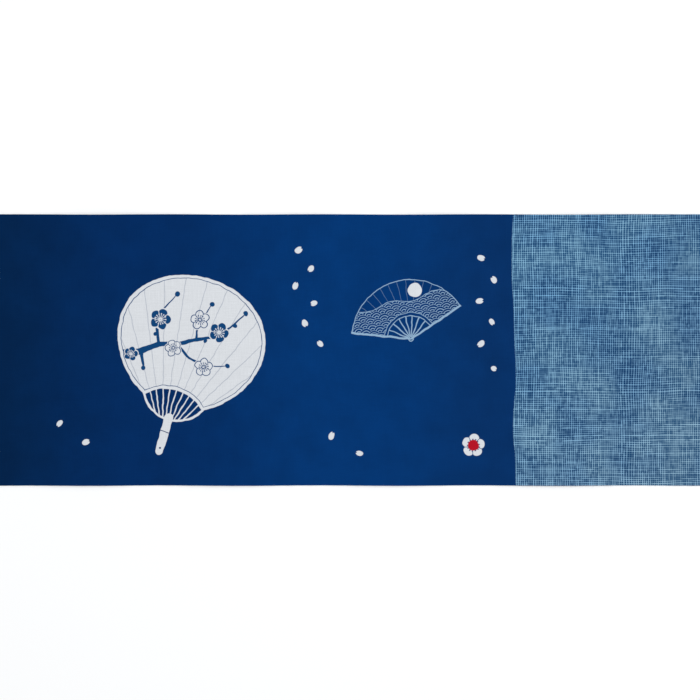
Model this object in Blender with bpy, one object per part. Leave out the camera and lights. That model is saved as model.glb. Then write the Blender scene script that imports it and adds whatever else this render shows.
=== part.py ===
"""A tenugui, the thin cotton hand towel, laid out flat with its dyed face up.

Its length runs along X and its width along Y, and it rests on z = 0 with the origin under its middle.
The long sides are woven selvedges. The short ends are cut and left without a hem, as is usual.
"""

import math
from collections import namedtuple

import bmesh
import bpy

MM = 0.001

# The cut cloth
LENGTH = 900 * MM
WIDTH = 347.6 * MM
THICKNESS = 1.0 * MM
SELVEDGE_WIDTH = 5 * MM
SELVEDGE_EXTRA = 0.2 * MM  # the packed threads of a selvedge stand this much above the cloth

# Each edge wanders inwards from its straight line by up to its drift, in so many waves along it.
Edge = namedtuple("Edge", "drift waves phase")
CORNER_SHARE = 0.1  # the drift starts from nothing at a corner and is whole this far along the edge
LEFT_CUT = Edge(0.9 * MM, 1.5, 0.6)
RIGHT_CUT = Edge(0.9 * MM, 1.5, 2.9)
LOWER_SELVEDGE = Edge(0.5 * MM, 4.5, 1.1)
UPPER_SELVEDGE = Edge(0.5 * MM, 4.5, 4.0)

# The cells of the grid that the cloth is made from. A column ends where the dyed lattice starts.
LATTICE_LENGTH = 240 * MM  # the lattice covers this much of the +X end, and plain indigo the rest
BOUNDARY_X = LENGTH / 2 - LATTICE_LENGTH
COLUMNS = 60
LATTICE_COLUMNS = round(COLUMNS * LATTICE_LENGTH / LENGTH)
ROWS = 26

# The hand-drawn line where the lattice starts: how far it strays to +X, from the +Y selvedge down
BOUNDARY_REACH = 45 * MM  # the grid's columns give way to it over this distance
BoundaryPoint = namedtuple("BoundaryPoint", "y stray")
BOUNDARY = (
    BoundaryPoint(174 * MM, -0.6 * MM),
    BoundaryPoint(108 * MM, -2.8 * MM),
    BoundaryPoint(60 * MM, -0.8 * MM),
    BoundaryPoint(10 * MM, 0.8 * MM),
    BoundaryPoint(-34 * MM, 2.2 * MM),
    BoundaryPoint(-66 * MM, 0.4 * MM),
    BoundaryPoint(-98 * MM, -1.2 * MM),
    BoundaryPoint(-136 * MM, 1.4 * MM),
    BoundaryPoint(-174 * MM, 2.0 * MM),
)

# Where the cloth rises a little off the surface: low swells, mostly along its edges. Its corners lie flat.
# reach is half a swell's length and spread half its width. turn is the way its length points, in degrees.
Swell = namedtuple("Swell", "x y reach spread turn height")
SWELLS = (
    Swell(-452 * MM, 45 * MM, 85 * MM, 56 * MM, 86, 2.0 * MM),
    Swell(-447 * MM, -102 * MM, 58 * MM, 42 * MM, 93, 1.3 * MM),
    Swell(-305 * MM, 174 * MM, 110 * MM, 52 * MM, -4, 2.1 * MM),
    Swell(-85 * MM, 176 * MM, 90 * MM, 44 * MM, 3, 1.4 * MM),
    Swell(105 * MM, 172 * MM, 82 * MM, 48 * MM, -6, 1.9 * MM),
    Swell(300 * MM, 176 * MM, 104 * MM, 46 * MM, 3, 1.6 * MM),
    Swell(-345 * MM, -176 * MM, 82 * MM, 44 * MM, 4, 1.5 * MM),
    Swell(-165 * MM, -172 * MM, 92 * MM, 46 * MM, -5, 1.8 * MM),
    Swell(50 * MM, -176 * MM, 98 * MM, 44 * MM, 5, 1.4 * MM),
    Swell(265 * MM, -174 * MM, 118 * MM, 50 * MM, -3, 2.2 * MM),
    Swell(452 * MM, 25 * MM, 96 * MM, 58 * MM, 87, 2.2 * MM),
    Swell(-215 * MM, 15 * MM, 150 * MM, 42 * MM, 17, 0.8 * MM),
    Swell(205 * MM, -55 * MM, 145 * MM, 46 * MM, -13, 0.9 * MM),
)

# The dyed cotton, in linear colours
INDIGO = (0.003, 0.034, 0.150)
LATTICE_BLUE = (0.085, 0.190, 0.325)
ROUGHNESS = 0.92
SHARP_ANGLE = math.radians(40)  # the rim is sharp, and the swells are smooth


def swell_height(x, y):
    """How far the underside of the cloth lies above the surface at a point: 0 over most of the cloth."""
    height = 0.0
    for swell in SWELLS:
        turn = math.radians(swell.turn)
        along = (x - swell.x) * math.cos(turn) + (y - swell.y) * math.sin(turn)
        across = (y - swell.y) * math.cos(turn) - (x - swell.x) * math.sin(turn)
        away = math.hypot(along / swell.reach, across / swell.spread)
        if away < 1:
            height += swell.height * (0.5 + 0.5 * math.cos(math.pi * away))
    return height


def boundary_stray(y):
    """How far the line between the indigo and the lattice strays to +X at this height."""
    for upper, lower in zip(BOUNDARY, BOUNDARY[1:]):
        if y >= lower.y:
            share = min(1.0, (upper.y - y) / (upper.y - lower.y))
            return upper.stray + share * (lower.stray - upper.stray)
    return BOUNDARY[-1].stray


def drift(edge, share):
    """How far an edge lies inside its straight line, at a share of the way along it."""
    from_corner = min(share, 1 - share, CORNER_SHARE) / CORNER_SHARE
    wave = 0.5 + 0.5 * math.sin(2 * math.pi * edge.waves * share + edge.phase)
    return edge.drift * from_corner * wave


def row_share(row):
    """The share of the width at which a line of the grid lies. The first and last rows are the selvedges."""
    selvedge = SELVEDGE_WIDTH / WIDTH
    if row == 0:
        return 0.0
    if row == ROWS:
        return 1.0
    return selvedge + (1 - 2 * selvedge) * (row - 1) / (ROWS - 2)


def grid_place(column, row):
    """The (x, y) of a point of the grid, with its wandering edges and the line of the lattice."""
    along, up = column / COLUMNS, row_share(row)
    left = -LENGTH / 2 + drift(LEFT_CUT, up)
    right = LENGTH / 2 - drift(RIGHT_CUT, up)
    lower = -WIDTH / 2 + drift(LOWER_SELVEDGE, along)
    upper = WIDTH / 2 - drift(UPPER_SELVEDGE, along)
    x = left + along * (right - left)
    y = lower + up * (upper - lower)
    nearness = max(0.0, 1 - abs(x - BOUNDARY_X) / BOUNDARY_REACH)
    return x + nearness * boundary_stray(y), y


def add_underside(shape):
    """The underside of the cloth on its swells, a face for each cell of the grid."""
    points = {}
    for column in range(COLUMNS + 1):
        for row in range(ROWS + 1):
            x, y = grid_place(column, row)
            points[column, row] = shape.verts.new((x, y, swell_height(x, y)))
    for column in range(COLUMNS):
        for row in range(ROWS):
            corners = ((column, row), (column, row + 1), (column + 1, row + 1), (column + 1, row))
            face = shape.faces.new([points[corner] for corner in corners])
            face.material_index = int(column >= COLUMNS - LATTICE_COLUMNS)


def raise_face(points):
    """Lift the dyed face to the cloth's thickness, and a little more along its selvedges."""
    for point in points:
        at_selvedge = abs(point.co.y) > WIDTH / 2 - SELVEDGE_WIDTH / 2
        point.co.z += THICKNESS + (SELVEDGE_EXTRA if at_selvedge else 0.0)


def towel_mesh():
    """One closed sheet: the underside, the dyed face that is extruded from it, and the rim between them."""
    shape = bmesh.new()
    add_underside(shape)
    added = bmesh.ops.extrude_face_region(shape, geom=shape.faces[:], use_keep_orig=True)["geom"]
    raise_face([item for item in added if isinstance(item, bmesh.types.BMVert)])
    bmesh.ops.recalc_face_normals(shape, faces=shape.faces[:])
    mesh = bpy.data.meshes.new("towel")
    shape.to_mesh(mesh)
    shape.free()
    mesh.shade_smooth()
    mesh.set_sharp_from_angle(angle=SHARP_ANGLE)
    return mesh


def dyed_cotton(name, colour):
    """Matt dyed cotton in one even colour."""
    material = bpy.data.materials.new(name)
    material.use_nodes = True
    shader = material.node_tree.nodes["Principled BSDF"]
    shader.inputs["Base Color"].default_value = (*colour, 1)
    shader.inputs["Roughness"].default_value = ROUGHNESS
    shader.inputs["Metallic"].default_value = 0.0
    material.diffuse_color = (*colour, 1)
    return material


def main():
    for item in list(bpy.data.objects):
        bpy.data.objects.remove(item, do_unlink=True)
    towel = bpy.data.objects.new("towel", towel_mesh())
    towel.data.materials.append(dyed_cotton("indigo", INDIGO))
    towel.data.materials.append(dyed_cotton("lattice", LATTICE_BLUE))
    bpy.context.scene.collection.objects.link(towel)


main()
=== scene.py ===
"""The looks of a tenugui, a thin cotton hand towel, laid out flat with its dyed face up.

The cloth is a thin closed sheet with frayed cut ends. One material dyes it right through: an indigo field
with a paste-resist design of two hand fans, petals and a blossom, and a fine drawn lattice over one end.
"""

import math
import random
from collections import namedtuple
from functools import reduce

import bmesh
import bpy
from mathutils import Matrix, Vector, noise


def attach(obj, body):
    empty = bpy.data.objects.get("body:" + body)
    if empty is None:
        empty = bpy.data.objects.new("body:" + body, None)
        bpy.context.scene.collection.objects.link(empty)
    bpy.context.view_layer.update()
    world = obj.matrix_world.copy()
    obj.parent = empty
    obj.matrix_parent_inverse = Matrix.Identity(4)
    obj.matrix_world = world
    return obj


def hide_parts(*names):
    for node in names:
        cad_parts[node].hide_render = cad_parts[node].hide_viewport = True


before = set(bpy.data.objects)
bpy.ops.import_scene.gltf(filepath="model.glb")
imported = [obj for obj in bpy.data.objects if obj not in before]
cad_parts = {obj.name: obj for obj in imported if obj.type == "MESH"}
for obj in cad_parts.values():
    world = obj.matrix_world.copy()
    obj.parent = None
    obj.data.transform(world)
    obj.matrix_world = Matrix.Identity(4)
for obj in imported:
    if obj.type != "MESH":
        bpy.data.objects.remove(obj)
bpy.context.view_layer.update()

MM = 0.001
LENGTH = 900 * MM
WIDTH = 347.6 * MM

# The cloth, which is thinner than its solid
CLOTH_THICKNESS = 0.45 * MM
SELVEDGE_THICKNESS = 0.65 * MM
SELVEDGE_WIDTH = 5 * MM
COLUMNS = 340
ROWS = 132
SHARP_ANGLE = math.radians(50)
BAKE_MARGIN = 0.004  # round each half of the cloth in a baked picture, as a share of the picture

# How each edge wanders inwards from its straight line, as in the solid
Edge = namedtuple("Edge", "drift waves phase")
CORNER_SHARE = 0.1  # the drift starts from nothing at a corner and is whole this far along the edge
LEFT_CUT = Edge(0.9 * MM, 1.5, 0.6)
RIGHT_CUT = Edge(0.9 * MM, 1.5, 2.9)
LOWER_SELVEDGE = Edge(0.5 * MM, 4.5, 1.1)
UPPER_SELVEDGE = Edge(0.5 * MM, 4.5, 4.0)
RAGGED_CUT = 0.35 * MM  # how deep the scissors' small steps are along a cut end
RAGGED_STEP = 5 * MM
RAGGED_SEED = 9.0

# Where the cloth rises a little off the surface, as in the solid
# reach is half a swell's length and spread half its width. turn is the way its length points, in degrees.
Swell = namedtuple("Swell", "x y reach spread turn height")
SWELLS = (
    Swell(-452 * MM, 45 * MM, 85 * MM, 56 * MM, 86, 2.0 * MM),
    Swell(-447 * MM, -102 * MM, 58 * MM, 42 * MM, 93, 1.3 * MM),
    Swell(-305 * MM, 174 * MM, 110 * MM, 52 * MM, -4, 2.1 * MM),
    Swell(-85 * MM, 176 * MM, 90 * MM, 44 * MM, 3, 1.4 * MM),
    Swell(105 * MM, 172 * MM, 82 * MM, 48 * MM, -6, 1.9 * MM),
    Swell(300 * MM, 176 * MM, 104 * MM, 46 * MM, 3, 1.6 * MM),
    Swell(-345 * MM, -176 * MM, 82 * MM, 44 * MM, 4, 1.5 * MM),
    Swell(-165 * MM, -172 * MM, 92 * MM, 46 * MM, -5, 1.8 * MM),
    Swell(50 * MM, -176 * MM, 98 * MM, 44 * MM, 5, 1.4 * MM),
    Swell(265 * MM, -174 * MM, 118 * MM, 50 * MM, -3, 2.2 * MM),
    Swell(452 * MM, 25 * MM, 96 * MM, 58 * MM, 87, 2.2 * MM),
    Swell(-215 * MM, 15 * MM, 150 * MM, 42 * MM, 17, 0.8 * MM),
    Swell(205 * MM, -55 * MM, 145 * MM, 46 * MM, -13, 0.9 * MM),
)
RIPPLE_HEIGHT = 0.5 * MM
RIPPLE_LENGTH = 60 * MM
RIPPLE_SPREAD = 26 * MM
RIPPLE_SEED = 0.3
SMALL_RIPPLE_SHARE = 0.4  # the height of the ripples that run crosswise, as a share of the others'
SMALL_RIPPLE_SEED = 7.1
PUCKER_HEIGHT = 0.35 * MM  # the selvedge is woven tighter than the cloth, which puckers beside it
PUCKER_LENGTH = 27 * MM
PUCKER_REACH = 14 * MM
PUCKER_UNEVEN = 2.5  # by how many radians the puckers run ahead or fall behind
PUCKER_UNEVEN_LENGTH = 110 * MM
PUCKER_SEED = 3

# The threads that stand out of the cut ends
FRAYS_PER_END = 430
FRAY_SPREAD = (0.2, 0.8)  # where a thread lies in its own share of the end
FRAY_RADIUS = 0.13 * MM
FRAY_TIP = 0.55  # the share of its radius that a thread has at its tip
FRAY_LENGTH = (0.3 * MM, 1.9 * MM)
LONG_FRAY_LENGTH = 4.2 * MM
LONG_FRAY_SHARE = 0.05
FRAY_LEAN = 0.35  # how far a thread commonly leans sideways, for each millimetre of its length
FRAY_BENDS = (0, 0.4, 0.7, 1)  # the shares of its length at which a thread has its points
FRAY_FALL = 3 * MM  # a thread would lie on the surface this far out
FRAY_FALL_CURVE = 1.5
FRAY_ROOT = 1.2 * MM
LooseWeft = namedtuple("LooseWeft", "side low high stray")
LOOSE_WEFTS = (
    LooseWeft(-1, -158 * MM, -70 * MM, 0.9 * MM),
    LooseWeft(-1, 24 * MM, 118 * MM, 0.6 * MM),
    LooseWeft(1, -96 * MM, 12 * MM, 0.8 * MM),
    LooseWeft(1, 66 * MM, 140 * MM, 0.7 * MM),
)
WEFT_STEPS = 30
WEFT_WAVER = 0.15 * MM
WEFT_INSET = 0.3 * MM  # the two ends of a loose weft lie this far inside the cut
WEFT_TIP = 0.8


def swell_height(x, y):
    """How far the cloth's main swells lift its underside at a point."""
    height = 0.0
    for swell in SWELLS:
        turn = math.radians(swell.turn)
        along = (x - swell.x) * math.cos(turn) + (y - swell.y) * math.sin(turn)
        across = (y - swell.y) * math.cos(turn) - (x - swell.x) * math.sin(turn)
        away = math.hypot(along / swell.reach, across / swell.spread)
        if away < 1:
            height += swell.height * (0.5 + 0.5 * math.cos(math.pi * away))
    return height


def ripple_height(x, y):
    """The shallow ripples that stay in thin cotton once it is smoothed out by hand."""
    wave = noise.noise(Vector((x / RIPPLE_LENGTH, y / RIPPLE_SPREAD, RIPPLE_SEED)))
    small = noise.noise(Vector((x / RIPPLE_SPREAD, y / RIPPLE_LENGTH * 3, SMALL_RIPPLE_SEED)))
    return RIPPLE_HEIGHT * max(0.0, wave + SMALL_RIPPLE_SHARE * small)


def pucker_height(x, y):
    """The small waves beside a selvedge."""
    inside = WIDTH / 2 - abs(y)
    seed = math.copysign(PUCKER_SEED, y)
    bend = PUCKER_UNEVEN * noise.noise(Vector((x / PUCKER_UNEVEN_LENGTH, seed, 0)))
    wave = 0.5 + 0.5 * math.sin(2 * math.pi * x / PUCKER_LENGTH + bend)
    return PUCKER_HEIGHT * wave * math.exp(-max(0.0, inside) / PUCKER_REACH)


def underside(x, y):
    """How high the cloth's underside lies at a point."""
    return swell_height(x, y) + ripple_height(x, y) + pucker_height(x, y)


def drift(edge, share):
    """How far an edge lies inside its straight line, at a share of the way along it."""
    from_corner = min(share, 1 - share, CORNER_SHARE) / CORNER_SHARE
    wave = 0.5 + 0.5 * math.sin(2 * math.pi * edge.waves * share + edge.phase)
    return edge.drift * from_corner * wave


def ragged(up, side):
    """The small steps of a cut end, which lie inside its line."""
    step = noise.noise(Vector((up * WIDTH / RAGGED_STEP, side * RAGGED_SEED, 0)))
    return RAGGED_CUT * (0.5 + 0.5 * step)


def cut_end(side, up):
    """The x of the cut end on one side, at a share of the way up the towel."""
    edge = RIGHT_CUT if side > 0 else LEFT_CUT
    return side * (LENGTH / 2 - drift(edge, up) - ragged(up, side))


def cloth_place(along, up):
    """The (x, y) of a point of the cloth from its share of the length and of the width."""
    left, right = cut_end(-1, up), cut_end(1, up)
    lower = -WIDTH / 2 + drift(LOWER_SELVEDGE, along)
    upper = WIDTH / 2 - drift(UPPER_SELVEDGE, along)
    return left + along * (right - left), lower + up * (upper - lower)


def bake_map(mesh, shares):
    """Lays the two halves of the length one above the other, so that a baked picture shows more of each.

    The underside shares its place with the face above it, because both are dyed alike.
    """
    layer = mesh.uv_layers.new(name="OFBake")
    for face in mesh.polygons:
        middle = sum(shares[index][0] for index in face.vertices) / len(face.vertices)
        half = int(middle > 0.5)
        for corner in face.loop_indices:
            along, up = shares[mesh.loops[corner].vertex_index]
            u = BAKE_MARGIN + (1 - 2 * BAKE_MARGIN) * (2 * along - half)
            v = BAKE_MARGIN + (0.5 - 2 * BAKE_MARGIN) * up + 0.5 * half
            layer.uv[corner].vector = (u, v)


def cloth_mesh():
    """The underside of the cloth as a fine grid, mapped for baking."""
    shape = bmesh.new()
    bmesh.ops.create_grid(shape, x_segments=COLUMNS, y_segments=ROWS, size=0.5)
    shares = [(point.co.x + 0.5, point.co.y + 0.5) for point in shape.verts]
    for point, (along, up) in zip(shape.verts, shares):
        x, y = cloth_place(along, up)
        point.co = (x, y, underside(x, y))
    mesh = bpy.data.meshes.new("cloth")
    shape.to_mesh(mesh)
    shape.free()
    bake_map(mesh, shares)
    return mesh


def thicken(cloth):
    """Gives the cloth its thickness, which grows towards each selvedge, and keeps the result as its mesh."""
    group = cloth.vertex_groups.new(name="thickness")
    for point in cloth.data.vertices:
        inside = WIDTH / 2 - abs(point.co.y)
        at_selvedge = max(0.0, 1 - inside / SELVEDGE_WIDTH) ** 0.5
        thickness = CLOTH_THICKNESS + at_selvedge * (SELVEDGE_THICKNESS - CLOTH_THICKNESS)
        group.add([point.index], thickness / SELVEDGE_THICKNESS, "REPLACE")
    solidify = cloth.modifiers.new("thickness", "SOLIDIFY")
    solidify.thickness = SELVEDGE_THICKNESS
    solidify.offset = 1
    solidify.vertex_group = group.name
    solidify.use_rim = True
    bpy.context.view_layer.update()
    whole = cloth.evaluated_get(bpy.context.evaluated_depsgraph_get())
    thick = bpy.data.meshes.new_from_object(whole)
    cloth.modifiers.clear()
    cloth.data = thick
    thick.shade_smooth()
    thick.set_sharp_from_angle(angle=SHARP_ANGLE)


def make_cloth():
    cloth = bpy.data.objects.new("cloth", cloth_mesh())
    bpy.context.scene.collection.objects.link(cloth)
    thicken(cloth)
    return cloth


def add_thread(curve, points, tip):
    """One thread of a curve object. tip is the share of its radius that it has at its far end."""
    spline = curve.splines.new("POLY")
    spline.points.add(len(points) - 1)
    for index, (entry, place) in enumerate(zip(spline.points, points)):
        entry.co = (*place, 1)
        entry.radius = 1 + (tip - 1) * index / (len(points) - 1)


def fray_points(side, y, length, lean):
    """A thread that leaves the cut end at y and droops towards the surface."""
    edge_x = cut_end(side, y / WIDTH + 0.5)
    start = underside(edge_x, y) + CLOTH_THICKNESS / 2
    points = [(edge_x - side * FRAY_ROOT, y, start)]
    for share in FRAY_BENDS:
        out = length * share
        drop = (start - FRAY_RADIUS) * min(1.0, out / FRAY_FALL) ** FRAY_FALL_CURVE
        points.append((edge_x + side * out, y + lean * out * share, start - drop))
    return points


def weft_points(weft, draw):
    """A weft thread that has come away beside a cut end and wanders along it."""
    points = []
    for step in range(WEFT_STEPS + 1):
        share = step / WEFT_STEPS
        y = weft.low + (weft.high - weft.low) * share
        away = weft.stray * math.sin(math.pi * share) + draw.uniform(-WEFT_WAVER, WEFT_WAVER)
        x = cut_end(weft.side, y / WIDTH + 0.5)
        height = underside(x, y) + CLOTH_THICKNESS / 2
        points.append((x + weft.side * (away - WEFT_INSET), y, max(FRAY_RADIUS, height - away)))
    return points


def make_frays(name, side):
    """The frayed threads of one cut end, as one piece."""
    draw = random.Random(name)
    shortest, longest = FRAY_LENGTH
    curve = bpy.data.curves.new(name, "CURVE")
    curve.dimensions = "3D"
    curve.bevel_depth = FRAY_RADIUS
    curve.bevel_resolution = 0
    curve.use_fill_caps = True
    for index in range(FRAYS_PER_END):
        share = (index + draw.uniform(*FRAY_SPREAD)) / FRAYS_PER_END
        y = (share - 0.5) * (WIDTH - 2 * MM)
        length = shortest + (longest - shortest) * draw.random() ** 2
        if draw.random() < LONG_FRAY_SHARE:
            length = draw.uniform(longest, LONG_FRAY_LENGTH)
        add_thread(curve, fray_points(side, y, length, draw.gauss(0, FRAY_LEAN)), FRAY_TIP)
    for weft in LOOSE_WEFTS:
        if weft.side == side:
            add_thread(curve, weft_points(weft, draw), WEFT_TIP)
    frays = bpy.data.objects.new(name, curve)
    bpy.context.scene.collection.objects.link(frays)
    return frays


# The dyes, as linear colours
UNDYED = (0.656, 0.676, 0.705)
DRAWN_BLUE = (0.005, 0.052, 0.165)
PALE_LINE = (0.270, 0.410, 0.560)
RED = (0.430, 0.007, 0.018)

# The indigo, from the -X end on, with painted shade: darkest at the -X end and a little darker again from the
# middle towards +X. Over each stretch, in millimetres, it turns softly to the stretch's colour.
INDIGO_SHADED_END = (0.0008, 0.0158, 0.0630)
Stretch = namedtuple("Stretch", "start end colour")
INDIGO_AND_SHADE_STRETCHES = (
    Stretch(-475, -255, (0.0009, 0.0230, 0.1070)),
    Stretch(-245, -25, (0.0011, 0.0338, 0.1505)),
    Stretch(30, 200, (0.0018, 0.0275, 0.1180)),
)
STRETCH_CLOUD = 55  # the stretches' ends wander by up to STRETCH_STRAY, over about this length
STRETCH_STRAY = 30
INDIGO_CLOUD = 38  # the dye is up to INDIGO_UNEVEN paler or deeper in clouds of about this size
INDIGO_UNEVEN = 0.15

# The design, in millimetres on the cloth. turn is in degrees.
Motif = namedtuple("Motif", "x y turn")
ROUND_FAN = Motif(-205, 8, -16)
FOLDING_FAN = Motif(78, 14, 14)
CORNER_BLOSSOM = Motif(158, -122, 12)
CORNER_BLOSSOM_SIZE = 15

LINE_SOFTNESS = 0.3  # a drawn edge fades over twice this distance
STRAY_LENGTH = 11  # drawn edges waver by up to STRAY, this way and that over about this length
STRAY = 1.1

# The round fan, from the middle of its face with its handle down
FACE_HALF_WIDTH = 95
FACE_HALF_HEIGHT = 87
FACE_FLARE = 0.0011  # how much wider the face grows with each millimetre up
FACE_CUT = (0, -116)  # the paper ends in an arc round this point
FACE_CUT_RADIUS = 54
FACE_BAND = 4.2  # the band is a drawn line this far inside the paper's edge
BAND_HALF_WIDTH = 0.4
RIB_POINT = (0, -128)
RIB_PITCH = math.radians(7.6)
BARE_RIB_HALF_WIDTH = 0.75
BARE_RIB_TOP = -58
FAINT_RIB_CORE = 0.2  # a rib under the paper shows faintly, most over this half width and none past the edge
FAINT_RIB_EDGE = 0.8
FAINT_RIB_SHARE = 0.32
BOW_MIDDLE = (0, -57)
BOW_RADIUS = 44
BOW_HALF_WIDTH = 1.3
BOW_TOP = -74
HANDLE_LINE_Y = -117
HANDLE_LINE_HALF_WIDTH = 0.5
HANDLE_HOLE = (0, -139)
HANDLE_HOLE_RADIUS = 1.4

Stroke = namedtuple("Stroke", "x y half_width")
HANDLE = (Stroke(0, -99, 5.8), Stroke(0, -143, 4.8))
BRANCH = (
    (Stroke(-84, -36, 4.4), Stroke(-60, -28, 3.9), Stroke(-38, -11, 3.3), Stroke(-16, -5, 2.8),
     Stroke(6, 7, 2.3), Stroke(26, 16, 1.8), Stroke(44, 34, 1.2), Stroke(57, 55, 0.6)),
    (Stroke(-38, -11, 2.0), Stroke(-47, 10, 1.6), Stroke(-45, 33, 1.1), Stroke(-34, 55, 0.5)),
    (Stroke(-16, -5, 1.9), Stroke(4, -18, 1.5), Stroke(26, -23, 1.1), Stroke(52, -15, 0.5)),
    (Stroke(6, 7, 1.6), Stroke(3, 28, 1.1), Stroke(13, 54, 0.5)),
    (Stroke(-57, -27, 2.4), Stroke(-50, -43, 1.4)),
)
Bud = namedtuple("Bud", "x y radius")
BUDS = (
    Bud(58, 57, 3.4),
    Bud(-33, 57, 3.4),
    Bud(14, 56, 3.1),
    Bud(54, -14, 3.1),
    Bud(49, 38, 2.7),
    Bud(-49, -46, 3.0),
    Bud(-46, 0, 2.6),
    Bud(18, 9, 2.5),
)
Blossom = namedtuple("Blossom", "x y radius turn filled")
BLOSSOMS = (
    Blossom(-45, 20, 13.5, 11, True),
    Blossom(4, 33, 12.0, 40, False),
    Blossom(32, 24, 12.5, 5, True),
    Blossom(25, -24, 11.5, 28, False),
    Blossom(-19, -11, 10.5, 52, False),
    Blossom(-69, -33, 9.0, 20, True),
)

# A plum blossom with a radius of 1. Its lines' figures are half of their width.
PETAL_COUNT = 5
PETAL_MIDDLE = 0.58  # from the blossom's middle to a petal's
PETAL_RADIUS = 0.42
GAP = 0.03
GAP_START = 0.42
OUTLINE = 0.045
STAMEN_COUNT = 13
STAMEN = 0.028
STAMEN_START = 0.16
STAMEN_END = 0.46
STAMEN_TIP = 0.5
STAMEN_TIP_RADIUS = 0.055
EYE_RADIUS = 0.10
HEART_RADIUS = 0.46
HEART_SOFTNESS = 0.03
BLOSSOM_SOFTNESS = 0.025
BLOSSOM_REACH = 1.25  # the ground round a blossom that is seen from its middle
BLOSSOM_CLEARANCE = 0.12  # the branch stops this far from a blossom's petals
CLEAR_OF_FAN = 8  # past this many millimetres from the paper, a blossom is dyed as the one in the corner

# The folding fan, from its pivot with its leaf up
LEAF_INNER = 30
LEAF_OUTER = 76
HALF_OPENING = math.radians(70)
FOLD_PITCH = math.radians(8.75)
FOLD_SHARE = 0.5  # how strong the folds are beside the other lines
INNER_BAND = 4  # from the leaf's inner edge to the line along it
WAVE_RADIUS = 9
WAVE_RING = 3
HORIZON = 50
HORIZON_SWELL = 3
HORIZON_BEND = 0.11  # the horizon's waves, in radians a millimetre
CLEARANCE = 0.8  # the waves stop this far from the leaf's edge, and the moon from the horizon
MOON = (20, 60)
MOON_RADIUS = 9
RIB_START = 4
GUARD_PAST_LEAF = 1
PIVOT_RADIUS = 3
HalfWidths = namedtuple("HalfWidths", "edge band wave shore fold rib guard pivot")
HALF_WIDTHS = HalfWidths(edge=0.5, band=0.35, wave=0.4, shore=0.4, fold=0.22, rib=0.7, guard=1.3, pivot=0.7)

# The falling petals, each with a small notch at its tip, in shares of its size
Petal = namedtuple("Petal", "x y length width turn")
PETALS = (
    Petal(-66, 128, 5.4, 4.0, 30),
    Petal(-50, 104, 4.6, 3.6, -145),
    Petal(-70, 82, 5.2, 3.4, 70),
    Petal(-46, 60, 4.4, 3.4, 190),
    Petal(-58, 34, 5.2, 3.8, -60),
    Petal(-38, 8, 4.6, 3.4, 125),
    Petal(168, 118, 5.2, 3.8, -20),
    Petal(184, 90, 4.6, 3.4, 130),
    Petal(166, 63, 5.2, 3.6, 5),
    Petal(182, 36, 4.4, 3.2, -65),
    Petal(168, 8, 5.0, 3.8, 210),
    Petal(184, -24, 4.2, 3.2, -30),
    Petal(-338, -118, 5.4, 3.8, 15),
    Petal(-372, -94, 4.8, 3.4, -130),
    Petal(-24, -110, 5.2, 3.8, 62),
    Petal(12, -132, 4.6, 3.4, 165),
)
PETAL_REACH = 1.3
PETAL_SOFTNESS = 0.08
NOTCH_START = 0.66
NOTCH_SLOPE = 0.7

# The hand-drawn line where the lattice starts, in millimetres: how far it strays to +X, and its small steps
BOUNDARY_X = 210
BoundaryPoint = namedtuple("BoundaryPoint", "y stray")
BOUNDARY = (
    BoundaryPoint(174, -0.6),
    BoundaryPoint(108, -2.8),
    BoundaryPoint(60, -0.8),
    BoundaryPoint(10, 0.8),
    BoundaryPoint(-34, 2.2),
    BoundaryPoint(-66, 0.4),
    BoundaryPoint(-98, -1.2),
    BoundaryPoint(-136, 1.4),
    BoundaryPoint(-174, 2.0),
)
BOUNDARY_SPAN = 348
BOUNDARY_REACH = 4
BOUNDARY_STEP = 0.75
BOUNDARY_STEP_SCALE = 0.6
BOUNDARY_SOFTNESS = 0.4
FIRST_LINE_PLACE = 0.9  # a pale line runs along most of the lattice's start
FIRST_LINE_HALF_WIDTH = 0.55
FIRST_LINE_SOFTNESS = 0.35
FIRST_LINE_SCALE = 0.045
FIRST_LINE_BREAKS = (0.35, 0.62)  # the noise's values over which it comes back
FIRST_LINE_SHARE = (0.1, 0.62)  # how strong it is where it is weakest and strongest

# The lattice, in millimetres. A line runs unbroken over about 1 / run, thins out and swells again. The lines'
# strengths lie between faint and strong, which are shares of the pale colour.
Lines = namedtuple("Lines", "seed uneven run faint strong")
UPRIGHT_LINES = Lines(17.5, 0.06, 0.050, 0.56, 0.88)
LEVEL_LINES = Lines(71.5, 0.22, 0.040, 0.39, 0.83)
LATTICE_PITCH = 2.7
LATTICE_STRAY_LENGTH = 90
LATTICE_STRAY = 2.3
CROWDING = 6  # lines stray together by up to half of this, so they crowd in places
CROWDING_SCALE = 0.03
LINE_HALF_WIDTH = (0.42, 0.72)
LINE_EDGE = 0.22
LINE_APART = 7.31  # sets each line's breaks apart from the next one's
THINNING = (0.36, 0.54)  # the noise's values over which a line swells from its thinnest to its whole width
THINNEST = 0.25  # the share of its width that a line has where it thins out
BAND_SCALE = (0.012, 0.22)  # level bands, about 80 mm long and 5 mm wide, in which all lines are paler
BAND_LIGHT = (0.45, 1.15)
LATTICE_CLOUD = 75
THIN_DYE = (0.3, 0.7)  # the clouds' values over which the dye goes from deep to thin
LATTICE_LIGHT = (0.785, 1.205)
LATTICE_MIDDLE = (330, 0)
LATTICE_FADING = (-0.0005, -0.00026)  # the lines get weaker with each millimetre to +X and to +Y

# Its dyes, as linear colours: the ground and the lines, where the dye is deep and where it is thin
LATTICE_DEEP = (0.0040, 0.0370, 0.1200)
LATTICE_PALE = (0.0150, 0.0700, 0.1680)
LINE_DEEP = (0.210, 0.420, 0.645)
LINE_PALE = (0.270, 0.460, 0.615)
LATTICE_COOL = (0.89, 1.0, 1.03)  # tints the corner between the indigo and the upper selvedge
LATTICE_GREY = (1.05, 1.0, 0.96)  # tints the lower corner at the +X end
TINT_DIRECTION = (1, -1)
TINT_FROM = -260
TINT_TO = 270

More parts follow.
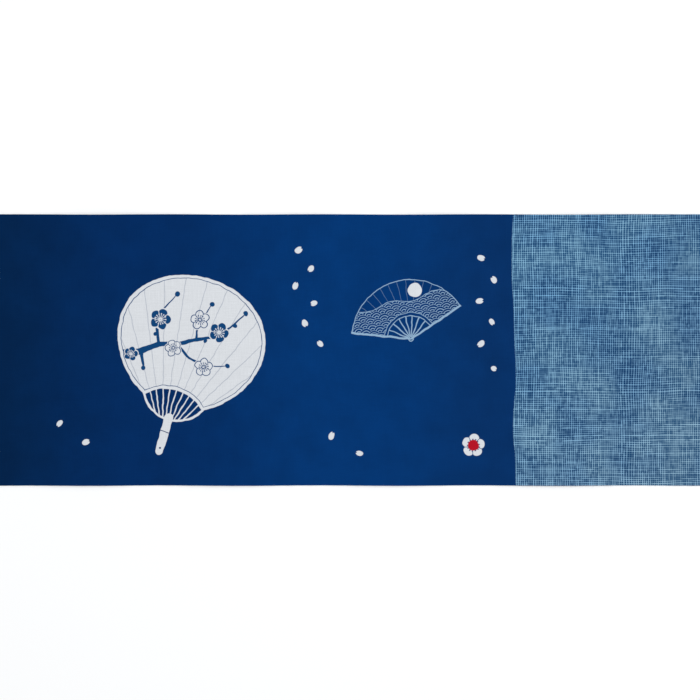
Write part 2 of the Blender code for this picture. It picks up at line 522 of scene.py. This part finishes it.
# The weave, in millimetres
THREAD_PITCH = 0.5
WEAVE_DEPTH = 0.09 * MM
WEAVE_PAINTED_SHADE = 0.17  # painted shade: how much paler the top of a thread is than the gap beside it
SLUB_ALONG = 0.05  # a slub is long along its thread and short across it
SLUB_ACROSS = 0.9
SLUB_HEIGHT = 0.4


class Number:
    """A number that a material's nodes work out at each point. Arithmetic with it adds nodes."""

    def __init__(self, socket):
        self.socket = socket
        self.nodes = socket.node.id_data.nodes
        self.links = socket.node.id_data.links

    def into(self, entry):
        self.links.new(self.socket, entry)

    def math(self, operation, *others, clamp=False):
        node = self.nodes.new("ShaderNodeMath")
        node.operation = operation
        node.use_clamp = clamp
        for entry, value in zip(node.inputs, (self, *others)):
            plug(value, entry)
        return Number(node.outputs[0])

    def __add__(self, other):
        return self.math("ADD", other)

    def __sub__(self, other):
        return self.math("SUBTRACT", other)

    def __rsub__(self, other):
        return self.scaled(-1, other)

    def __neg__(self):
        return self.scaled(-1, 0)

    def __mul__(self, other):
        return self.math("MULTIPLY", other)

    def __truediv__(self, other):
        return self.math("DIVIDE", other)

    def scaled(self, factor, extra):
        return self.math("MULTIPLY_ADD", factor, extra)

    def between(self, low, high):
        """Stretches a number from 0 to 1, so that it goes from low to high."""
        return self.scaled(high - low, low)

    def min(self, other):
        return self.math("MINIMUM", other)

    def max(self, other):
        return self.math("MAXIMUM", other)

    def abs(self):
        return self.math("ABSOLUTE")

    def folded(self, half_period):
        """How far the number is from the nearest multiple of twice half_period."""
        return self.math("PINGPONG", half_period)

    def below(self, limit):
        return self.math("LESS_THAN", limit)

    def ramp(self, low, high, to_low=0.0, to_high=1.0):
        """Goes softly from to_low to to_high as the number goes from low to high."""
        node = self.nodes.new("ShaderNodeMapRange")
        node.interpolation_type = "SMOOTHSTEP"
        for name, value in zip(("From Min", "From Max", "To Min", "To Max"), (low, high, to_low, to_high)):
            plug(value, node.inputs[name])
        self.into(node.inputs["Value"])
        return Number(node.outputs["Result"])

    def inside(self, softness=LINE_SOFTNESS):
        """1 where a distance is below 0, and 0 where it is above."""
        return self.ramp(softness, -softness)

    def mixed(self, other, share):
        node = self.nodes.new("ShaderNodeMix")
        plug(share, node.inputs[0])
        plug(self, node.inputs[2])
        plug(other, node.inputs[3])
        return Number(node.outputs[0])


class Triple(Number):
    """Three numbers that nodes work out at each point: a place on the cloth, or a colour."""

    def vector(self, operation, *others):
        node = self.nodes.new("ShaderNodeVectorMath")
        node.operation = operation
        for entry, value in zip(node.inputs, (self, *others)):
            plug(value, entry)
        return node

    def local(self, centre, turn=0.0, size=(1, 1)):
        """The place as seen from a centre, turned by so many degrees and measured in units of size."""
        node = self.nodes.new("ShaderNodeMapping")
        node.vector_type = "TEXTURE"
        node.inputs["Location"].default_value = (*centre, 0)
        node.inputs["Rotation"].default_value = (0, 0, math.radians(turn))
        node.inputs["Scale"].default_value = (*size, 1)
        self.into(node.inputs["Vector"])
        return Triple(node.outputs[0])

    def parts(self):
        node = self.nodes.new("ShaderNodeSeparateXYZ")
        self.into(node.inputs[0])
        return Number(node.outputs[0]), Number(node.outputs[1]), Number(node.outputs[2])

    def length(self):
        return Number(self.vector("LENGTH").outputs["Value"])

    def distance(self, point):
        return Number(self.vector("DISTANCE", point).outputs["Value"])

    def dot(self, direction):
        return Number(self.vector("DOT_PRODUCT", direction).outputs["Value"])

    def plus(self, other):
        return Triple(self.vector("ADD", other).outputs[0])

    def times(self, other):
        return Triple(self.vector("MULTIPLY", other).outputs[0])

    def shaded(self, factor):
        """The colour, deeper or paler by a factor."""
        node = self.vector("SCALE")
        plug(factor, node.inputs["Scale"])
        return Triple(node.outputs[0])

    def chosen(self, other, share):
        node = self.nodes.new("ShaderNodeMix")
        node.data_type = "VECTOR"
        plug(share, node.inputs[0])
        plug(self, node.inputs[4])
        plug(other, node.inputs[5])
        return Triple(node.outputs[1])


def plug(value, entry):
    """Sets a node's entry to a number or vector, or joins it to one that nodes work out.

    A vector's last zeros may be left out.
    """
    if isinstance(value, Number):
        value.into(entry)
    elif hasattr(value, "__len__"):
        entry.default_value = tuple(value) + (0,) * (len(entry.default_value) - len(value))
    else:
        entry.default_value = value


def combined(x, y):
    node = x.nodes.new("ShaderNodeCombineXYZ")
    plug(x, node.inputs[0])
    plug(y, node.inputs[1])
    return Triple(node.outputs[0])


def colour_mix(share, first, second):
    """The first colour where share is 0 and the second where it is 1."""
    node = share.nodes.new("ShaderNodeMix")
    node.data_type = "RGBA"
    share.into(node.inputs[0])
    for entry, colour in ((node.inputs[6], first), (node.inputs[7], second)):
        plug(colour if isinstance(colour, Number) else (*colour, 1), entry)
    return Triple(node.outputs[2])


def union(*distances):
    """The distance to the nearest of some shapes."""
    return reduce(Number.min, distances)


def overlap(*distances):
    """The distance to what lies in all of some shapes."""
    return reduce(Number.max, distances)


def noise_node(place, scale, detail, roughness=0.5):
    node = place.nodes.new("ShaderNodeTexNoise")
    node.noise_dimensions = "2D"
    node.inputs["Scale"].default_value = scale
    node.inputs["Detail"].default_value = detail
    node.inputs["Roughness"].default_value = roughness
    place.into(node.inputs["Vector"])
    return node


def cloudy(place, scale, detail=0.0, roughness=0.5):
    """A number from 0 to 1 that drifts over the cloth."""
    return Number(noise_node(place, scale, detail, roughness).outputs[0])


def strayed(place, length, amount):
    """The place, moved a little one way or another, so that what is drawn there wavers."""
    clouds = Triple(noise_node(place, 1 / length, 1.0).outputs["Color"])
    offset = clouds.plus((-0.5, -0.5)).times((2 * amount, 2 * amount))
    return place.plus(offset)


def three_random(index, seed):
    """Three numbers from 0 to 1 that a whole number picks."""
    node = index.nodes.new("ShaderNodeTexWhiteNoise")
    node.noise_dimensions = "1D"
    (index + seed).into(node.inputs["W"])
    return Triple(node.outputs["Color"]).parts()


def stroke_distance(place, start, end):
    """The distance to a stroke between two points, whose half width changes from one to the other."""
    reach = Vector((end.x - start.x, end.y - start.y))
    direction = reach / reach.length_squared
    offset = direction.x * start.x + direction.y * start.y
    share = place.dot(direction).math("SUBTRACT", offset, clamp=True)
    nearest = Triple(share.socket).vector("MULTIPLY_ADD", reach, (start.x, start.y))
    away = place.distance(Triple(nearest.outputs[0]))
    return away - share.between(start.half_width, end.half_width)


def branch_distance(place):
    """The distance to the plum branch and its buds."""
    strokes = [stroke_distance(place, *ends) for twig in BRANCH for ends in zip(twig, twig[1:])]
    buds = [place.distance((bud.x, bud.y)) - bud.radius for bud in BUDS]
    return union(*strokes, *buds)


def nearest_blossom(place, fan_place):
    """The place as seen from the blossom that it lies on, in radiuses, and 1 where that blossom is filled."""
    size = (CORNER_BLOSSOM_SIZE, CORNER_BLOSSOM_SIZE)
    found = place.local(CORNER_BLOSSOM[:2], CORNER_BLOSSOM.turn, size)
    filled = []
    for blossom in BLOSSOMS:
        seen = fan_place.local((blossom.x, blossom.y), blossom.turn, (blossom.radius, blossom.radius))
        near = seen.length().below(BLOSSOM_REACH)
        found = found.chosen(seen, near)
        if blossom.filled:
            filled.append(near)
    return found, reduce(Number.max, filled)


# A blossom's masks: the distance to its petals, where they are, its drawn lines, its outline and its heart
Flower = namedtuple("Flower", "distance petals lines outline heart")


def plum_blossom(seen):
    """The masks of a plum blossom with a radius of 1."""
    x, y, _ = seen.parts()
    away = seen.length()
    angle = y.math("ARCTAN2", x)
    from_petal = angle.folded(math.pi / PETAL_COUNT)
    square = away * away - away * from_petal.math("COSINE") * (2 * PETAL_MIDDLE) + PETAL_MIDDLE ** 2
    distance = square.math("SQRT") - PETAL_RADIUS
    gaps = overlap((math.pi / PETAL_COUNT - from_petal) * away - GAP, GAP_START - away)
    from_stamen = angle.folded(math.pi / STAMEN_COUNT) * away
    stamens = overlap(from_stamen - STAMEN, away - STAMEN_END, STAMEN_START - away)
    tips = overlap((away - STAMEN_TIP).abs(), from_stamen) - STAMEN_TIP_RADIUS
    lines = union(gaps, stamens, tips, away - EYE_RADIUS).inside(BLOSSOM_SOFTNESS)
    outline = (distance.abs() - OUTLINE).inside(BLOSSOM_SOFTNESS)
    heart = (away - HEART_RADIUS).inside(HEART_SOFTNESS)
    return Flower(distance, distance.inside(BLOSSOM_SOFTNESS), lines, outline, heart)


def rays(place, point, pitch):
    """The distance to the nearest of the rays that leave a point, each a pitch from the next."""
    from_point = place.local(point)
    x, y, _ = from_point.parts()
    return x.math("ARCTAN2", y).folded(pitch / 2) * from_point.length()


# The round fan's masks: the distance to its paper, what is white, what lies inside the drawn band, the band
# itself, and the ribs that show faintly
RoundFan = namedtuple("RoundFan", "paper white inner band ribs")


def round_fan(place):
    """The masks of the round fan, without its branch."""
    x, y, _ = place.parts()
    wide = x / y.scaled(FACE_FLARE, 1)
    egg = combined(wide, y).times((1 / FACE_HALF_WIDTH, 1 / FACE_HALF_HEIGHT))
    face = (egg.length() - 1) * FACE_HALF_HEIGHT
    paper = overlap(face, FACE_CUT_RADIUS - place.distance(FACE_CUT))
    from_bow = place.distance(BOW_MIDDLE) - BOW_RADIUS
    bow = overlap(from_bow.abs() - BOW_HALF_WIDTH, y - BOW_TOP)
    from_rib = rays(place, RIB_POINT, RIB_PITCH)
    bare_ribs = overlap(from_rib - BARE_RIB_HALF_WIDTH, from_bow, y - BARE_RIB_TOP)
    line = (y - HANDLE_LINE_Y).abs() - HANDLE_LINE_HALF_WIDTH
    hole = place.distance(HANDLE_HOLE) - HANDLE_HOLE_RADIUS
    handle = overlap(stroke_distance(place, *HANDLE), -union(line, hole))
    white = union(paper, bow, bare_ribs, handle).inside()
    inner = (paper + FACE_BAND).inside()
    band = ((paper + FACE_BAND).abs() - BAND_HALF_WIDTH).inside()
    ribs = from_rib.ramp(FAINT_RIB_CORE, FAINT_RIB_EDGE, FAINT_RIB_SHARE, 0) * inner
    return RoundFan(paper, white, inner, band, ribs)


def wave_lines(place):
    """The distance to the lines of overlapping round waves."""
    x, y, _ = place.parts()
    step = WAVE_RADIUS / 2
    row = y.scaled(1 / step, -WAVE_RADIUS / step).math("CEIL")
    odd = row.math("FLOORED_MODULO", 2)
    across = odd.scaled(WAVE_RADIUS, x).folded(WAVE_RADIUS)
    up = y - row * step
    distances = []
    for turn, sideways in enumerate((across, WAVE_RADIUS - across, across)):
        height = up - turn * step
        distances.append((sideways * sideways + height * height).math("SQRT"))
    chosen = distances[2].mixed(distances[1], distances[1].below(WAVE_RADIUS))
    chosen = chosen.mixed(distances[0], distances[0].below(WAVE_RADIUS))
    return chosen.folded(WAVE_RING / 2)


def folding_fan(place):
    """Where the folding fan's lines, its folds and its white moon are."""
    x, y, _ = place.parts()
    half = HALF_WIDTHS
    away = place.length()
    angle = x.math("ARCTAN2", y)
    beside = (angle.abs() - HALF_OPENING) * away
    ring = (away - (LEAF_INNER + LEAF_OUTER) / 2).abs() - (LEAF_OUTER - LEAF_INNER) / 2
    leaf = overlap(beside, ring)
    sea = y + (x * HORIZON_BEND).math("SINE") * HORIZON_SWELL - HORIZON
    band_place = LEAF_INNER + INNER_BAND
    band = overlap((away - band_place).abs() - half.band, leaf)
    waves = overlap(wave_lines(place) - half.wave, leaf + CLEARANCE, sea, band_place - away)
    shore = overlap(sea.abs() - half.shore, leaf)
    folds = overlap(angle.folded(FOLD_PITCH / 2) * away - half.fold, leaf, -sea)
    ribs = overlap(angle.folded(FOLD_PITCH) * away - half.rib, away - LEAF_INNER, beside, RIB_START - away)
    guards = overlap(beside.abs() - half.guard, away - (LEAF_OUTER + GUARD_PAST_LEAF))
    pivot = (away - PIVOT_RADIUS).abs() - half.pivot
    lines = union(leaf.abs() - half.edge, band, waves, shore, ribs, guards, pivot)
    moon = overlap(place.distance(MOON) - MOON_RADIUS, CLEARANCE - sea)
    return lines.inside(), folds.inside(), moon.inside()


def petal_mask(place):
    """1 on the falling petals."""
    found = None
    for petal in PETALS:
        seen = place.local((petal.x, petal.y), petal.turn, (petal.length, petal.width))
        found = seen if found is None else found.chosen(seen, seen.length().below(PETAL_REACH))
    x, y, _ = found.parts()
    notch = (x - y.abs() - NOTCH_START) * NOTCH_SLOPE
    return overlap(found.length() - 1, notch).inside(PETAL_SOFTNESS)


def indigo_field(place):
    """The indigo ground, with painted shade that darkens it towards the -X end, and a little uneven."""
    x, _, _ = place.parts()
    along = x + cloudy(place, 1 / STRETCH_CLOUD, detail=2.0).between(-STRETCH_STRAY, STRETCH_STRAY)
    colour = INDIGO_SHADED_END
    for stretch in INDIGO_AND_SHADE_STRETCHES:
        colour = colour_mix(along.ramp(stretch.start, stretch.end), colour, stretch.colour)
    clouds = cloudy(place, 1 / INDIGO_CLOUD, detail=3.0)
    return colour.shaded(clouds.between(1 - INDIGO_UNEVEN, 1 + INDIGO_UNEVEN))


def past_boundary(place):
    """How far a place lies past the hand-drawn line where the lattice starts."""
    x, y, _ = place.parts()
    node = place.nodes.new("ShaderNodeFloatCurve")
    curve = node.mapping.curves[0]
    points = []
    for point in reversed(BOUNDARY):
        points.append((0.5 + point.y / BOUNDARY_SPAN, 0.5 + point.stray / (2 * BOUNDARY_REACH)))
    while len(curve.points) < len(points):
        curve.points.new(0.5, 0.5)
    for entry, location in zip(curve.points, points):
        entry.location = location
    node.mapping.update()
    y.scaled(1 / BOUNDARY_SPAN, 0.5).into(node.inputs["Value"])
    stray = Number(node.outputs[0]).between(-BOUNDARY_REACH, BOUNDARY_REACH)
    clouds = cloudy(place.times((0, 1)), BOUNDARY_STEP_SCALE, detail=1.0)
    return x - BOUNDARY_X - stray - clouds.between(-BOUNDARY_STEP, BOUNDARY_STEP)


def lattice_lines(along, across, lines):
    """How strong the irregular lines are that run one way. Their place wavers already."""
    crowding = cloudy(combined(across * CROWDING_SCALE, lines.seed), 1.0)
    line = (across + crowding * CROWDING) / LATTICE_PITCH
    index = line.math("FLOOR")
    shift, width, strength = three_random(index, lines.seed)
    middle = shift.between(0.5 - lines.uneven / 2, 0.5 + lines.uneven / 2)
    away = (line - index - middle).abs() * LATTICE_PITCH
    along_each = combined(along * lines.run, index * LINE_APART)
    thinning = cloudy(along_each, 1.0, detail=2.0, roughness=0.6).ramp(*THINNING, THINNEST, 1)
    drawn = (away - width.between(*LINE_HALF_WIDTH) * thinning).inside(LINE_EDGE)
    return drawn * (strength * strength).between(lines.faint, lines.strong)


def first_line(place, past):
    """How strong the pale line along the lattice's start is, which comes and goes."""
    drawn = ((past - FIRST_LINE_PLACE).abs() - FIRST_LINE_HALF_WIDTH).inside(FIRST_LINE_SOFTNESS)
    clouds = cloudy(place.times((0, 1)), FIRST_LINE_SCALE, detail=1.0)
    return drawn * clouds.ramp(*FIRST_LINE_BREAKS, *FIRST_LINE_SHARE)


def lattice(place, past):
    """The crossed pale lines of the +X end and the blue between them, from the distance past their start."""
    wavy = strayed(place, LATTICE_STRAY_LENGTH, LATTICE_STRAY)
    x, y, _ = wavy.parts()
    lines = lattice_lines(y, x, UPRIGHT_LINES) + lattice_lines(x, y, LEVEL_LINES)
    bands = cloudy(wavy.times(BAND_SCALE), 1.0, detail=2.0).between(*BAND_LIGHT)
    clouds = cloudy(place, 1 / LATTICE_CLOUD, detail=3.0)
    from_middle = place.local(LATTICE_MIDDLE)
    strength = clouds.between(*LATTICE_LIGHT) + from_middle.dot(LATTICE_FADING)
    light = (lines * bands * strength).max(first_line(place, past))
    thin = clouds.ramp(*THIN_DYE)
    ground = colour_mix(thin, LATTICE_DEEP, LATTICE_PALE)
    colour = colour_mix(light, ground, colour_mix(thin, LINE_DEEP, LINE_PALE))
    tint_share = from_middle.dot(TINT_DIRECTION).ramp(TINT_FROM, TINT_TO)
    return colour.times(colour_mix(tint_share, LATTICE_COOL, LATTICE_GREY))


def weave_height(place):
    """The rounded threads of a plain weave, each over one thread and under the next, from 0 to 1."""
    x, y, _ = place.parts()
    warp = (x * (math.pi / THREAD_PITCH)).math("SINE")
    weft = (y * (math.pi / THREAD_PITCH)).math("SINE")
    over = warp * weft
    return (warp.abs() * over.scaled(0.5, 0.5)).max(weft.abs() * over.scaled(-0.5, 0.5))


def fan_ink(place, fan, flower, filled):
    """Where the branch, the blossoms and the band are drawn on the round fan's paper."""
    clear = 1 - (flower.distance - BLOSSOM_CLEARANCE).inside(BLOSSOM_SOFTNESS)
    branch = branch_distance(place).inside() * clear
    drawn_open = (flower.petals * flower.lines).max(flower.outline)
    drawn_full = flower.petals * (1 - flower.lines)
    return (branch.max(drawn_open.mixed(drawn_full, filled)) * fan.inner).max(fan.band)


# A colour that lies over the ones before it where its share is 1
Layer = namedtuple("Layer", "share colour")


def dye_colour(place):
    """The colour of the dyed and reserved cotton at a place."""
    drawn = strayed(place, STRAY_LENGTH, STRAY)
    fan_place = drawn.local(ROUND_FAN[:2], ROUND_FAN.turn)
    fan = round_fan(fan_place)
    seen, filled = nearest_blossom(drawn, fan_place)
    flower = plum_blossom(seen)
    off_fan = 1 - (fan.paper - CLEAR_OF_FAN).inside()
    lines, folds, moon = folding_fan(drawn.local(FOLDING_FAN[:2], FOLDING_FAN.turn))
    past = past_boundary(place)
    layers = (
        Layer(fan.white, UNDYED),
        Layer(fan.ribs, DRAWN_BLUE),
        Layer(fan_ink(fan_place, fan, flower, filled), DRAWN_BLUE),
        Layer((folds * FOLD_SHARE).max(lines), PALE_LINE),
        Layer(moon.max(petal_mask(drawn)), UNDYED),
        Layer(flower.petals * off_fan, UNDYED),
        Layer(flower.petals * flower.lines * off_fan, DRAWN_BLUE),
        Layer(flower.heart * off_fan, RED),
        Layer(past.ramp(-BOUNDARY_SOFTNESS, BOUNDARY_SOFTNESS), lattice(place, past)),
    )
    colour = indigo_field(place)
    for layer in layers:
        colour = colour_mix(layer.share, colour, layer.colour)
    return colour


def dyed_cotton():
    """Thin plain-woven cotton, dyed right through."""
    material = bpy.data.materials.new("dyed_cotton")
    material.use_nodes = True
    tree = material.node_tree
    shader = tree.nodes["Principled BSDF"]
    coordinates = tree.nodes.new("ShaderNodeTexCoord")
    place = Triple(coordinates.outputs["Object"]).times((1 / MM, 1 / MM))
    upright_slubs = cloudy(place.times((SLUB_ACROSS, SLUB_ALONG)), 1.0)
    level_slubs = cloudy(place.times((SLUB_ALONG, SLUB_ACROSS)), 1.0)
    slubs = upright_slubs + level_slubs
    height = weave_height(place)
    # The slubs vary the cotton's tone, and the weave's height adds painted shade in the gaps between threads.
    tone_and_painted_shade = slubs.scaled(0.08, 0.84) + height * WEAVE_PAINTED_SHADE
    dye_colour(place).shaded(tone_and_painted_shade).into(shader.inputs["Base Color"])
    bump = tree.nodes.new("ShaderNodeBump")
    bump.inputs["Strength"].default_value = 0.7
    bump.inputs["Distance"].default_value = WEAVE_DEPTH
    (height + slubs * SLUB_HEIGHT).into(bump.inputs["Height"])
    tree.links.new(bump.outputs["Normal"], shader.inputs["Normal"])
    slubs.scaled(-0.08, 0.96).into(shader.inputs["Roughness"])
    shader.inputs["Specular IOR Level"].default_value = 0.01
    shader.inputs["Sheen Weight"].default_value = 0.04
    shader.inputs["Sheen Roughness"].default_value = 0.5
    return material


# The stage
FLOOR_SIZE = 24.0
FLOOR_DROP = 0.2 * MM  # the floor lies this far under the cloth, so that the two surfaces don't coincide
FLOOR_COLOUR = (0.96, 0.96, 0.96)
SKY_COLOUR = (0.97, 0.985, 1.0)
SKY_STRENGTH = 0.70
LIGHT_PLACE = (0.55, 0.7, 3.1)
LIGHT_SIZE = 2.2
LIGHT_POWER = 49
CAMERA_LENS = 85
CAMERA_SENSOR = 36
CAMERA_MARGIN = 0.9963  # the towel's ends lie just past the picture's edges


def add_floor():
    """A large, matt, pale floor."""
    shape = bmesh.new()
    bmesh.ops.create_grid(shape, x_segments=1, y_segments=1, size=FLOOR_SIZE / 2)
    mesh = bpy.data.meshes.new("floor")
    shape.to_mesh(mesh)
    shape.free()
    floor = bpy.data.objects.new("floor", mesh)
    floor.location.z = -FLOOR_DROP
    material = bpy.data.materials.new("pale_floor")
    material.use_nodes = True
    shader = material.node_tree.nodes["Principled BSDF"]
    shader.inputs["Base Color"].default_value = (*FLOOR_COLOUR, 1)
    shader.inputs["Roughness"].default_value = 0.9
    shader.inputs["Specular IOR Level"].default_value = 0.1
    mesh.materials.append(material)
    bpy.context.scene.collection.objects.link(floor)


def add_lights():
    """A soft sky, and one large soft light above the towel."""
    world = bpy.data.worlds.new("studio")
    world.use_nodes = True
    sky = world.node_tree.nodes["Background"]
    sky.inputs["Color"].default_value = (*SKY_COLOUR, 1)
    sky.inputs["Strength"].default_value = SKY_STRENGTH
    bpy.context.scene.world = world
    data = bpy.data.lights.new("softbox", "AREA")
    data.size = LIGHT_SIZE
    data.energy = LIGHT_POWER
    light = bpy.data.objects.new("softbox", data)
    light.location = LIGHT_PLACE
    light.rotation_euler = (-Vector(LIGHT_PLACE)).to_track_quat("-Z", "Y").to_euler()
    bpy.context.scene.collection.objects.link(light)


def add_camera():
    """Looks straight down, with the towel's length across the whole picture."""
    data = bpy.data.cameras.new("camera")
    data.lens = CAMERA_LENS
    data.sensor_width = CAMERA_SENSOR
    camera = bpy.data.objects.new("camera", data)
    camera.location.z = CAMERA_MARGIN * LENGTH * CAMERA_LENS / CAMERA_SENSOR
    bpy.context.scene.collection.objects.link(camera)
    bpy.context.scene.camera = camera
    bpy.context.scene.view_settings.view_transform = "Standard"


def main():
    cloth = make_cloth()
    frays = [make_frays("frays_left", -1), make_frays("frays_right", 1)]
    cotton = dyed_cotton()
    for piece in (cloth, *frays):
        piece.data.materials.append(cotton)
        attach(piece, "root")
    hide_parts("towel")
    add_floor()
    add_lights()
    add_camera()


main()
